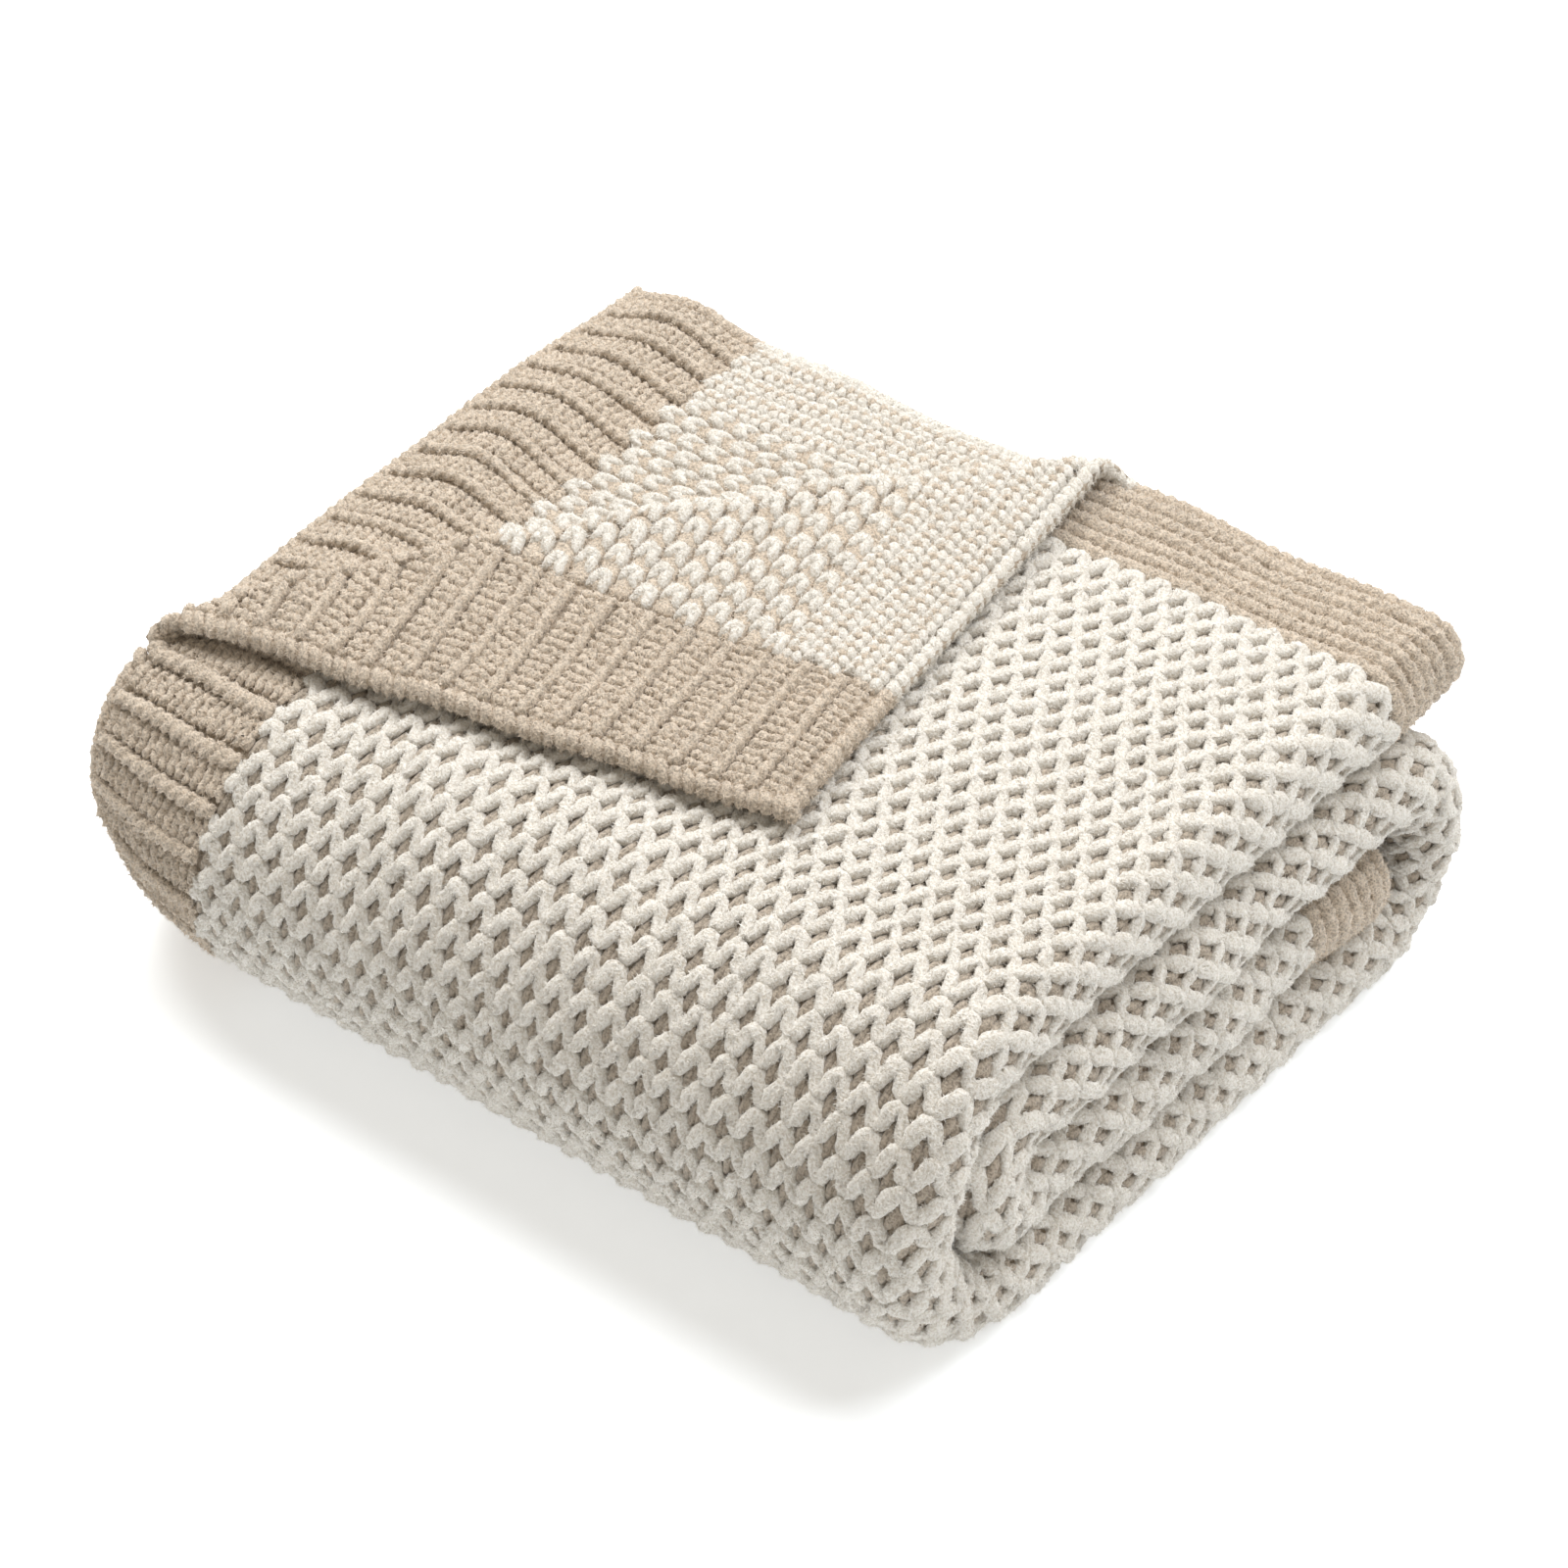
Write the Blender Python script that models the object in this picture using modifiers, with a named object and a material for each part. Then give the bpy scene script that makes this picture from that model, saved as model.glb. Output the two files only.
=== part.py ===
"""Folded throw blanket: one knitted cloth with a honeycomb centre, ribbed borders and rolled end edges.

The cloth is folded in half twice across its length, which makes a unit of four plies, and that unit is
rolled flat in four layers across its width. The top ply's corner is turned back over a diagonal crease.
Metres, +Z up. X runs along the pile's long side and Y across it. The pile lies on z = 0.
"""
import math

import bmesh
import bpy
import numpy as np

# Folding of the cloth.
PLY_PITCH = 0.0080
SHEET_THICK = 0.0075
LAYER_PITCH = 0.0326
UNIT_X = 0.383
LOOP_Y = 0.320
TOP_Y = 0.3135
NOSE_SHIFT = 0.002
TUCK_SHIFT = 0.002
INNER_FOLD_SHIFT = 0.004
TOP_LIP_DRAW = 0.007

# Zones of the cloth.
END_BORDER = 0.066
SIDE_BORDER = 0.045
EDGE_ROLL = 0.009
SEAM_GAP = 0.0003

# The turned-back corner and its crease.
CREASE_Y = 0.0520
CREASE_BACK_X = 0.2265
FLAP_LIFT = 0.0004
FLAP_THICK = 0.0072
FLAP_SET_BACK = 0.0008
AXIS_LIFT = 0.0010
CUT_DEPTH = 0.05

# How the soft pile settles: its top slopes, and its open left end is pinched in at the front.
TOP_DROP = -0.0230
RISE_X = 0.0486
RISE_Y = 0.0490
END_SOFT_X = 0.07
END_TUCK_Y = 0.026
END_TUCK_REACH = 0.12
END_TUCK_SHARE = 0.93
END_LIFT_Z = 0.008
END_LIFT_SHARE = 0.6

# Facets along the folds.
LIP_STEPS = 6
WRAP_STEPS = 8
LOOP_STEPS = 8
NOSE_STEPS = 6
END_STOPS = (0.0093, 0.0235, 0.0377, 0.0518, 0.066, 0.072)
LONG_STOPS = END_STOPS + (0.17, 0.27)
WIDE_STOPS = (0.12, 0.20)

TAN = (0.66, 0.56, 0.43, 1.0)
CREAM = (0.86, 0.83, 0.77, 1.0)
MIXED = (0.78, 0.72, 0.62, 1.0)
CLOTH_ROUGHNESS = 0.95

SKIN = (PLY_PITCH - SHEET_THICK) / 2
UNIT_THICK = 4 * PLY_PITCH
Z_BOTTOM = UNIT_THICK / 2
Z_TUCKED = Z_BOTTOM + LAYER_PITCH
Z_SECOND = Z_BOTTOM + 2 * LAYER_PITCH
Z_TOP = Z_BOTTOM + 3 * LAYER_PITCH
PILE_Z = Z_TOP + UNIT_THICK / 2
CENTRE = ((UNIT_X - SKIN) / 2, LOOP_Y / 2, 0.0)


def line(start, end, stops):
    """A level run of a fold path: its place at a share 0 to 1, its length and its facet shares."""
    start = np.array(start)
    run = np.array(end) - start
    length = float(np.hypot(*run))
    heading = run / length
    shares = sorted((stop - start[0]) / run[0] for stop in stops)
    shares = [share for share in shares if 0 < share < 1] + [1.0]
    return (lambda share: (start + run * share, heading)), length, shares


def arc(centre, radius, first, last, steps):
    """A round run of a fold path about centre, between two angles in degrees."""
    centre = np.array(centre)
    way = math.copysign(1.0, last - first)

    def place(share):
        angle = math.radians(first + (last - first) * share)
        out = np.array([math.cos(angle), math.sin(angle)])
        return centre + radius * out, way * np.array([-out[1], out[0]])

    shares = [(k + 1) / steps for k in range(steps)]
    return place, math.radians(abs(last - first)) * radius, shares


class Path:
    """A fold path in a plane, measured along the cloth."""

    def __init__(self, runs):
        self.runs = runs
        self.ends = np.cumsum([run[1] for run in runs])
        self.length = float(self.ends[-1])

    def at(self, distance):
        """The point and heading at this distance along the path."""
        index = int(np.searchsorted(self.ends, distance - 1e-9))
        index = min(index, len(self.runs) - 1)
        place, length, _ = self.runs[index]
        return place((distance - self.ends[index] + length) / length)

    def stations(self):
        """The distances of the facet lines."""
        found = [0.0]
        for (_, length, shares), end in zip(self.runs, self.ends):
            found += [end - length * (1 - share) for share in shares]
        return found


def unit_path():
    """The unit's four plies in (x, offset across the unit), from the first end edge to the second."""
    outer = 1.5 * PLY_PITCH
    inner = 0.5 * PLY_PITCH
    lip_x = UNIT_X - UNIT_THICK / 2
    fold_x = inner + INNER_FOLD_SHIFT
    return Path([
        line((0, outer), (lip_x, outer), LONG_STOPS),
        arc((lip_x, 0), outer, 90, -90, LIP_STEPS),
        line((lip_x, -outer), (fold_x, -outer), LONG_STOPS),
        arc((fold_x, -PLY_PITCH), inner, -90, -270, LIP_STEPS),
        line((fold_x, -inner), (lip_x, -inner), LONG_STOPS),
        arc((lip_x, 0), inner, -90, 90, LIP_STEPS),
        line((lip_x, inner), (0, inner), LONG_STOPS),
    ])


def roll_path():
    """The unit's four layers in (y, z): top, bottom, second and tucked, as it is rolled flat."""
    wrap = 1.5 * LAYER_PITCH
    wrap_y = wrap + UNIT_THICK / 2
    wrap_z = (Z_BOTTOM + Z_TOP) / 2
    loop_y = LOOP_Y - LAYER_PITCH - UNIT_THICK / 2
    nose_y = wrap_y + NOSE_SHIFT
    return Path([
        line((TOP_Y, Z_TOP), (wrap_y, Z_TOP), WIDE_STOPS),
        arc((wrap_y, wrap_z), wrap, 90, 270, WRAP_STEPS),
        line((wrap_y, Z_BOTTOM), (loop_y, Z_BOTTOM), WIDE_STOPS),
        arc((loop_y, Z_TUCKED), LAYER_PITCH, -90, 90, LOOP_STEPS),
        line((loop_y, Z_SECOND), (nose_y, Z_SECOND), WIDE_STOPS),
        arc((nose_y, wrap_z), LAYER_PITCH / 2, 90, 270, NOSE_STEPS),
        line((nose_y, Z_TUCKED), (loop_y - TUCK_SHIFT, Z_TUCKED), WIDE_STOPS),
    ])


UNIT = unit_path()
ROLL = roll_path()
TOP_END, WRAP_END = ROLL.ends[0], ROLL.ends[1]


def folded(across, along, lift):
    """Where a point of the flat cloth lies in the evenly folded pile, lift towards the front side."""
    (x, offset), (heading_x, heading_offset) = UNIT.at(along)
    x -= heading_offset * lift
    offset += heading_x * lift
    drawn = 1.0 - np.clip((across - TOP_END) / (WRAP_END - TOP_END), 0.0, 1.0)
    x -= TOP_LIP_DRAW * drawn * x / UNIT_X
    (y, z), (heading_y, heading_z) = ROLL.at(across)
    return x, y + heading_z * offset, z - heading_y * offset


def top_height(x, y):
    """The height of the settled pile's top over a plan point."""
    return PILE_Z + TOP_DROP + RISE_X * x + RISE_Y * (y - CREASE_Y)


def settled(x, y, z):
    """A point of the evenly folded pile, moved to where the soft pile settles."""
    share = (z - SKIN) / PILE_Z
    z = share * top_height(x, y)
    soft = max(0.0, 1 - x / END_SOFT_X) ** 2
    front = max(0.0, 1 - y / END_TUCK_REACH)
    y += END_TUCK_Y * soft * front * max(0.0, 1 - (share / END_TUCK_SHARE) ** 2)
    z += END_LIFT_Z * soft * front * max(0.0, 1 - share / END_LIFT_SHARE)
    return x, y, z


def as_object(name, mesh, colour):
    """A piece of cloth with its own material."""
    material = bpy.data.materials.new(name)
    material.use_nodes = True
    shader = material.node_tree.nodes["Principled BSDF"]
    shader.inputs["Base Color"].default_value = colour
    shader.inputs["Roughness"].default_value = CLOTH_ROUGHNESS
    shader.inputs["Metallic"].default_value = 0.0
    mesh.materials.append(material)
    return bpy.data.objects.new(name, mesh)


def sheet_mesh(name, rows, columns):
    """A closed sheet of the folded cloth between the given facet lines."""
    work = bmesh.new()
    half = SHEET_THICK / 2
    back, front = (
        [[work.verts.new(folded(r, c, side * half)) for c in columns] for r in rows]
        for side in (-1, 1)
    )
    last_row, last_column = len(rows) - 1, len(columns) - 1
    for r in range(last_row):
        for c in range(last_column):
            near, far = sorted((c, c + 1), key=lambda k: folded(rows[r], columns[k], 0.0)[0])
            for side in (back, front):
                work.faces.new((side[r][near], side[r][far], side[r + 1][far], side[r + 1][near]))
    for r in range(last_row):
        for c in (0, last_column):
            work.faces.new((back[r][c], front[r][c], front[r + 1][c], back[r + 1][c]))
    for c in range(last_column):
        for r in (0, last_row):
            work.faces.new((back[r][c], front[r][c], front[r][c + 1], back[r][c + 1]))
    bmesh.ops.recalc_face_normals(work, faces=work.faces)
    bmesh.ops.triangulate(work, faces=work.faces, quad_method="FIXED")
    mesh = bpy.data.meshes.new(name)
    work.to_mesh(mesh)
    work.free()
    return mesh


def between(stations, limits):
    """The facet lines inside a zone, with the zone's own limits."""
    low, high = limits
    margin = 2 * SEAM_GAP
    return [low] + [s for s in stations if low + margin < s < high - margin] + [high]


def crease_cutter():
    """A wedge beyond the crease, from between the top two plies upward."""
    run = np.array([CREASE_BACK_X, TOP_Y - CREASE_Y])
    foot = np.array([0.0, CREASE_Y])
    front, back = foot - run, foot + 2 * run
    far = -UNIT_X
    low = Z_TOP + PLY_PITCH
    work = bmesh.new()
    plan = [front, back, (far, back[1]), (far, front[1])]
    base = work.faces.new([work.verts.new((x, y, low)) for x, y in plan])
    grown = bmesh.ops.extrude_face_region(work, geom=[base])["geom"]
    raised = [item for item in grown if isinstance(item, bmesh.types.BMVert)]
    bmesh.ops.translate(work, verts=raised, vec=(0, 0, CUT_DEPTH))
    bmesh.ops.recalc_face_normals(work, faces=work.faces)
    mesh = bpy.data.meshes.new("crease_cutter")
    work.to_mesh(mesh)
    work.free()
    cutter = bpy.data.objects.new("crease_cutter", mesh)
    cutter.hide_render = True
    cutter.display_type = "WIRE"
    helpers.objects.link(cutter)
    return cutter


def zone(name, across_limits, along_limits, colour, cutter=None):
    """One zone of the folded cloth, opened at the crease where the corner is turned back, then settled."""
    rows = between(ROLL.stations(), across_limits)
    columns = between(UNIT.stations(), along_limits)
    piece = as_object(name, sheet_mesh(name, rows, columns), colour)
    cloth.objects.link(piece)
    if cutter is not None:
        cut = piece.modifiers.new("crease", "BOOLEAN")
        cut.operation = "DIFFERENCE"
        cut.solver = "EXACT"
        cut.object = cutter
        graph = bpy.context.evaluated_depsgraph_get()
        opened = bpy.data.meshes.new_from_object(piece.evaluated_get(graph))
        piece.modifiers.remove(cut)
        piece.data = opened
    work = bmesh.new()
    work.from_mesh(piece.data)
    bmesh.ops.triangulate(work, faces=work.faces)
    for vertex in work.verts:
        vertex.co = settled(*vertex.co)
    work.to_mesh(piece.data)
    work.free()
    piece.location = [-c for c in CENTRE]
    return piece


def flap_plan(inward, along):
    """The plan point of the turned-back corner, mirrored in the crease from its place in the top ply."""
    run = np.array([CREASE_BACK_X, TOP_Y - CREASE_Y])
    run /= np.hypot(*run)
    foot = np.array([0.0, CREASE_Y])
    from_foot = np.array([along, TOP_Y - inward]) - foot
    return foot + 2 * run * float(from_foot @ run) - from_foot


def flap_piece(name, outline, colour, hinge):
    """One zone of the turned-back corner, from its outline in (inward from the side, along from the end)."""
    work = bmesh.new()
    corners = []
    for inward, along in outline:
        x, y = flap_plan(inward, along)
        corners.append(work.verts.new((x, y, top_height(x, y) + FLAP_LIFT)))
    work.faces.new(corners)
    bmesh.ops.recalc_face_normals(work, faces=work.faces)
    if work.faces[:][0].normal.z < 0:
        bmesh.ops.reverse_faces(work, faces=work.faces)
    mesh = bpy.data.meshes.new(name)
    work.to_mesh(mesh)
    work.free()
    piece = as_object(name, mesh, colour)
    cloth.objects.link(piece)
    thick = piece.modifiers.new("thickness", "SOLIDIFY")
    thick.thickness = FLAP_THICK
    thick.offset = 1.0
    piece.parent = hinge
    piece.location = -np.array(hinge.location) - np.array(CENTRE)
    return piece


def build_pile(cutter):
    """The zones of the cloth that stay in the pile."""
    width, length = ROLL.length, UNIT.length
    middle = (END_BORDER + SEAM_GAP, length - END_BORDER - SEAM_GAP)
    field = (SIDE_BORDER + SEAM_GAP, width - SIDE_BORDER - SEAM_GAP)
    first_end = (EDGE_ROLL + SEAM_GAP, END_BORDER)
    second_end = (length - END_BORDER, length - EDGE_ROLL - SEAM_GAP)
    whole = (0.0, width)
    zone("honeycomb_panel", field, middle, CREAM, cutter)
    zone("side_border_outer", (0.0, SIDE_BORDER), middle, TAN, cutter)
    zone("side_border_inner", (width - SIDE_BORDER, width), middle, TAN)
    zone("end_border_upper", whole, first_end, TAN, cutter)
    zone("end_border_lower", whole, second_end, TAN)
    zone("edge_roll_upper", whole, (0.0, EDGE_ROLL), TAN, cutter)
    zone("edge_roll_lower", whole, (length - EDGE_ROLL, length), TAN)


def build_flap():
    """The zones of the turned-back corner, on a hinge along the crease."""
    reach = TOP_Y - CREASE_Y
    slope = CREASE_BACK_X / reach
    back = FLAP_SET_BACK * math.hypot(1.0, slope)

    def to_crease(inward):
        return (inward, (reach - inward) * slope - back)

    def from_side(along):
        return (reach - (along + back) / slope, along)

    middle = END_BORDER + SEAM_GAP
    hinge = bpy.data.objects.new("corner_flap_axis", None)
    cloth.objects.link(hinge)
    foot = np.array([0.0, CREASE_Y, top_height(0.0, CREASE_Y) + AXIS_LIFT])
    hinge.location = foot - np.array(CENTRE)
    strips = (("corner_flap_edge_roll", 0.0, EDGE_ROLL),
              ("corner_flap_end_border", EDGE_ROLL + SEAM_GAP, END_BORDER))
    for name, low, high in strips:
        outline = [(0.0, low), (0.0, high), from_side(high), from_side(low)]
        flap_piece(name, outline, TAN, hinge)
    side = [(0.0, middle), to_crease(0.0), to_crease(SIDE_BORDER), (SIDE_BORDER, middle)]
    flap_piece("corner_flap_side_border", side, MIXED, hinge)
    inner = SIDE_BORDER + SEAM_GAP
    field = [(inner, middle), to_crease(inner), from_side(middle)]
    flap_piece("corner_flap_field", field, MIXED, hinge)


for leftover in list(bpy.data.objects):
    bpy.data.objects.remove(leftover)
cloth = bpy.data.collections.new("folded_throw_blanket")
helpers = bpy.data.collections.new("cutters")
bpy.context.scene.collection.children.link(cloth)
bpy.context.scene.collection.children.link(helpers)
build_pile(crease_cutter())
build_flap()
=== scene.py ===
"""The folded throw blanket as it looks: a chunky chenille knit, built stitch by stitch.

The cloth is described flat, by its distance across (u), its distance along (v) and the height above its
middle (w, positive on the front side). Every strand is made in those coordinates and then carried through
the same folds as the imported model. Metres, +Z up.
"""
import math

import bpy
import numpy as np
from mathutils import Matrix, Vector


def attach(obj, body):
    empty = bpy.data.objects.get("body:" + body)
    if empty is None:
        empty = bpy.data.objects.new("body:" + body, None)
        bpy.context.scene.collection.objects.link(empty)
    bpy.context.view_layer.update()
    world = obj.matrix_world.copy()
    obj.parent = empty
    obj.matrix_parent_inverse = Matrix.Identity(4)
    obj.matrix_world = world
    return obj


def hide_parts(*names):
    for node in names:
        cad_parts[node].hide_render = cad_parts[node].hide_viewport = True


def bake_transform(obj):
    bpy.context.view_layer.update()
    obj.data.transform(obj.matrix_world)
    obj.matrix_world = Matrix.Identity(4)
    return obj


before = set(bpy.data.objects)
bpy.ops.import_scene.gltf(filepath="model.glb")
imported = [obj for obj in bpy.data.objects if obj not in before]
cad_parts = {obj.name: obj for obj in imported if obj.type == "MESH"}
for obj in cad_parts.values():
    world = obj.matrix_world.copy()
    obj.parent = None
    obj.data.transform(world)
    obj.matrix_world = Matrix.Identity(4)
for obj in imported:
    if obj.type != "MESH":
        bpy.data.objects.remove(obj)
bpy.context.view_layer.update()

# Folding of the cloth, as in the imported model.
PLY_PITCH = 0.0080
LAYER_PITCH = 0.0326
UNIT_X = 0.383
LOOP_Y = 0.320
TOP_Y = 0.3135
NOSE_SHIFT = 0.002
TUCK_SHIFT = 0.002
INNER_FOLD_SHIFT = 0.004
TOP_LIP_DRAW = 0.007
SKIN = 0.00025
UNIT_THICK = 4 * PLY_PITCH
Z_BOTTOM = UNIT_THICK / 2
Z_TUCKED = Z_BOTTOM + LAYER_PITCH
Z_SECOND = Z_BOTTOM + 2 * LAYER_PITCH
Z_TOP = Z_BOTTOM + 3 * LAYER_PITCH
PILE_Z = Z_TOP + UNIT_THICK / 2
CENTRE = np.array(((UNIT_X - SKIN) / 2, LOOP_Y / 2, 0.0))

# Zones of the cloth and its stitches.
END_BORDER = 0.066
SIDE_BORDER = 0.045
SIDE_CORD = 0.0058
EDGE_ROLL = 0.009
CELL_V = 0.0116
ROW_U = 0.0088
END_RIB = 0.0153

# The ground sheet's two faces, below and above the cloth's middle.
SHEET_LOW = -0.0016
SHEET_HIGH = 0.0008

# The turned-back corner: where its crease meets the left and the back edge, and how the rim turns over.
CREASE_Y = 0.0520
CREASE_X = 0.2265
CREASE_REACH = TOP_Y - CREASE_Y
RIM_RADIUS = 0.0062
RIM_END_RADIUS = 0.0032
RIM_LOOP_RADIUS = 0.0066
RIM_BOW = 0.005
FLAP_GAP = 0.0092
FLAP_SETTLE = 0.030

# Colours of the yarn: lit tips, and the shade between them.
WHITE = (0.80, 0.78, 0.74)
WHITE_DEEP = (0.58, 0.53, 0.455)
TAN = (0.655, 0.56, 0.455)
# painted shade: the darkest colour of the ground sheet, which shows only in the gaps beneath the stitches
TAN_GROUND_SHADE = (0.36, 0.28, 0.20)
# painted highlight: the loose tan fibres are lighter than the yarn, as lit tips
TAN_FIBRE_HIGHLIGHT = (0.75, 0.655, 0.55)
TUFT = 0.0009

# The studio.
FLOOR_COLOUR = (0.81, 0.85, 0.895, 1.0)
FLOOR_GLOW = (1.0, 1.0, 0.99, 1.0)
FLOOR_GLOW_STRENGTH = 0.43
WORLD_COLOUR = (1.0, 0.905, 0.755, 1.0)
WORLD_STRENGTH = 0.31
LIGHTS = (  # name, place, what it is aimed at, side, watts and colour
    ("key", (0.7, 1.1, 2.4), (0, 0, 0.08), 2.0, 71, (0.975, 0.985, 1.0)),
    ("left", (-1.6, 0.5, 2.0), (0, 0, 0.08), 1.2, 56, (1.0, 0.985, 0.96)),
    ("fill", (1.6, -1.6, 1.8), (0, 0, 0.05), 1.6, 6, (1.0, 0.95, 0.88)),
)

rng = np.random.default_rng(7)


# ---------------------------------------------------------------- noise
def hashed(ix, iy, iz, seed):
    """A repeatable value 0 to 1 for each whole-number place."""
    h = (ix * 73856093) ^ (iy * 19349663) ^ (iz * 83492791) ^ (seed * 2654435761)
    h = (h ^ (h >> 13)) * 1274126177 & 0x7FFFFFFF
    h = (h ^ (h >> 16)) & 0xFFFFF
    return h / 0xFFFFF


def noise(points, size, seed=1):
    """Smooth noise -1 to 1 at points, with lumps of this size."""
    p = points / size
    base = np.floor(p).astype(np.int64)
    f = p - base
    f = f * f * (3 - 2 * f)
    total = 0.0
    for dx in (0, 1):
        for dy in (0, 1):
            for dz in (0, 1):
                weight = (f[..., 0] if dx else 1 - f[..., 0])
                weight = weight * (f[..., 1] if dy else 1 - f[..., 1])
                weight = weight * (f[..., 2] if dz else 1 - f[..., 2])
                total = total + weight * hashed(base[..., 0] + dx, base[..., 1] + dy, base[..., 2] + dz, seed)
    return 2 * total - 1


# ---------------------------------------------------------------- fold map
def line(start, end):
    """A straight run of a path."""
    return ("line", np.array(start, float), np.array(end, float))


def arc(centre, radius, first, last):
    """A curved run of a path, between two angles in degrees."""
    return ("arc", np.array(centre, float), radius, math.radians(first), math.radians(last))


def run_length(run):
    """The length of a line or an arc."""
    if run[0] == "line":
        return float(np.hypot(*(run[2] - run[1])))
    return abs(run[4] - run[3]) * run[2]


class Path:
    """A fold path in a plane, measured along the cloth."""

    def __init__(self, runs):
        self.runs = runs
        self.lengths = [run_length(r) for r in runs]
        self.ends = np.cumsum(self.lengths)
        self.length = float(self.ends[-1])

    def at(self, d):
        """Points (x, y) and headings (hx, hy) at distances d."""
        d = np.asarray(d, float)
        x, y, hx, hy = (np.zeros_like(d) for _ in range(4))
        index = np.clip(np.searchsorted(self.ends, d), 0, len(self.runs) - 1)
        for k, run in enumerate(self.runs):
            m = index == k
            if not m.any():
                continue
            s = d[m] - (self.ends[k] - self.lengths[k])
            if run[0] == "line":
                h = (run[2] - run[1]) / self.lengths[k]
                x[m], y[m] = run[1][0] + h[0] * s, run[1][1] + h[1] * s
                hx[m], hy[m] = h[0], h[1]
            else:
                way = 1.0 if run[4] > run[3] else -1.0
                a = run[3] + way * s / run[2]
                x[m], y[m] = run[1][0] + run[2] * np.cos(a), run[1][1] + run[2] * np.sin(a)
                hx[m], hy[m] = -way * np.sin(a), way * np.cos(a)
        return x, y, hx, hy


def unit_path():
    """The four plies: the cloth's length folded in half twice, in a plane of x and offset from the middle."""
    outer, inner = 1.5 * PLY_PITCH, 0.5 * PLY_PITCH
    lip_x = UNIT_X - UNIT_THICK / 2
    fold_x = inner + INNER_FOLD_SHIFT
    return Path([
        line((0, outer), (lip_x, outer)),
        arc((lip_x, 0), outer, 90, -90),
        line((lip_x, -outer), (fold_x, -outer)),
        arc((fold_x, -PLY_PITCH), inner, -90, -270),
        line((fold_x, -inner), (lip_x, -inner)),
        arc((lip_x, 0), inner, -90, 90),
        line((lip_x, inner), (0, inner)),
    ])


def roll_path():
    """The four layers: the plies rolled flat across the cloth's width, in a plane of y and z."""
    wrap = 1.5 * LAYER_PITCH
    wrap_y = wrap + UNIT_THICK / 2
    wrap_z = (Z_BOTTOM + Z_TOP) / 2
    loop_y = LOOP_Y - LAYER_PITCH - UNIT_THICK / 2
    nose_y = wrap_y + NOSE_SHIFT
    return Path([
        line((TOP_Y, Z_TOP), (wrap_y, Z_TOP)),
        arc((wrap_y, wrap_z), wrap, 90, 270),
        line((wrap_y, Z_BOTTOM), (loop_y, Z_BOTTOM)),
        arc((loop_y, Z_TUCKED), LAYER_PITCH, -90, 90),
        line((loop_y, Z_SECOND), (nose_y, Z_SECOND)),
        arc((nose_y, wrap_z), LAYER_PITCH / 2, 90, 270),
        line((nose_y, Z_TUCKED), (loop_y - TUCK_SHIFT, Z_TUCKED)),
    ])


UNIT, ROLL = unit_path(), roll_path()
WIDE, LONG = ROLL.length, UNIT.length
U_TOP, U_WRAP, U_BOTTOM, U_LOOP = ROLL.ends[:4]
V_LIP, V_LIP_END, V_FOLD, V_FOLD_END = UNIT.ends[:4]
V_INNER_LIP_END = UNIT.ends[5]


def over(a):
    """The positive part."""
    return np.maximum(a, 0.0)


def top_height(x, y):
    """The height of the settled pile's top: it falls to the front and the left, and dips and rises softly."""
    xr = x / UNIT_X
    h = PILE_Z + 0.0181 * (xr - 0.5) - 0.0141 * over(1 - y / 0.2) ** 2
    h = h - 0.0009 * over((y - 0.2) / 0.12) ** 2 - 0.0070 * over(1 - xr) ** 2 * over(1 - y / TOP_Y)
    h = h + 0.0052 * over(1 - xr) * over((y - 0.10) / 0.21)
    # a rise over the end borders, from the middle of the pile to its back
    away_from_front = np.clip((y - 0.05) / 0.12, 0, 1)
    h = h + 0.0060 * np.exp(-((x - 0.030) / 0.020) ** 2) * away_from_front
    h = h + 0.0012 * np.sin(x * 41 + 1.1) * np.sin(y * 33 + 0.4) + 0.0008 * np.sin(x * 83 + y * 57)
    return h


def settled(p):
    """Points of the evenly folded pile, moved to where the soft pile settles."""
    x, y, z = p[..., 0], p[..., 1], p[..., 2]
    share = (z - SKIN) / PILE_Z
    z = share * top_height(x, y)
    # the front left end is drawn back and up
    soft = over(1 - x / 0.07) ** 2
    front = over(1 - y / 0.12)
    y = y + 0.026 * soft * front * over(1 - (share / 0.97) ** 2)
    z = z + 0.0117 * soft * front * over(1 - share / 0.6)
    # at the base the front spreads out a little and the right side draws in
    y = y - 0.0036 * over(1 - y / 0.12) * over(1 - share)
    x = x - 0.0032 * over((x - 0.28) / 0.10) * over(1 - share)
    # the lips wander a little
    mid = np.sin(np.clip(share, 0, 1) * math.pi)
    wave = 0.0016 * np.sin(y * 48 + 0.7) + 0.0012 * np.sin(y * 97 + z * 60)
    x = x + wave * over((x - 0.25) / 0.13) * mid
    return np.stack([x, y, z], -1)


def fold(u, v, w):
    """World points of the pile for flat cloth points."""
    x, off, hx, ho = UNIT.at(v)
    x = x - ho * w
    off = off + hx * w
    drawn = 1.0 - np.clip((u - U_TOP) / (U_WRAP - U_TOP), 0, 1)
    x = x - TOP_LIP_DRAW * drawn * x / UNIT_X
    y, z, hy, hz = ROLL.at(u)
    p = np.stack([x, y + hz * off, z - hy * off], -1)
    return settled(p) - CENTRE


CREASE_LEN = math.hypot(CREASE_X, CREASE_REACH)
CREASE_RUN = np.array([CREASE_X, CREASE_REACH]) / CREASE_LEN
CREASE_OUT = np.array([-CREASE_RUN[1], CREASE_RUN[0]])


def crease_frame(x, y):
    """Distance along the crease and beyond it towards the corner, for plan points."""
    dx, dy = x, y - CREASE_Y
    return dx * CREASE_RUN[0] + dy * CREASE_RUN[1], dx * CREASE_OUT[0] + dy * CREASE_OUT[1]


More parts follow.
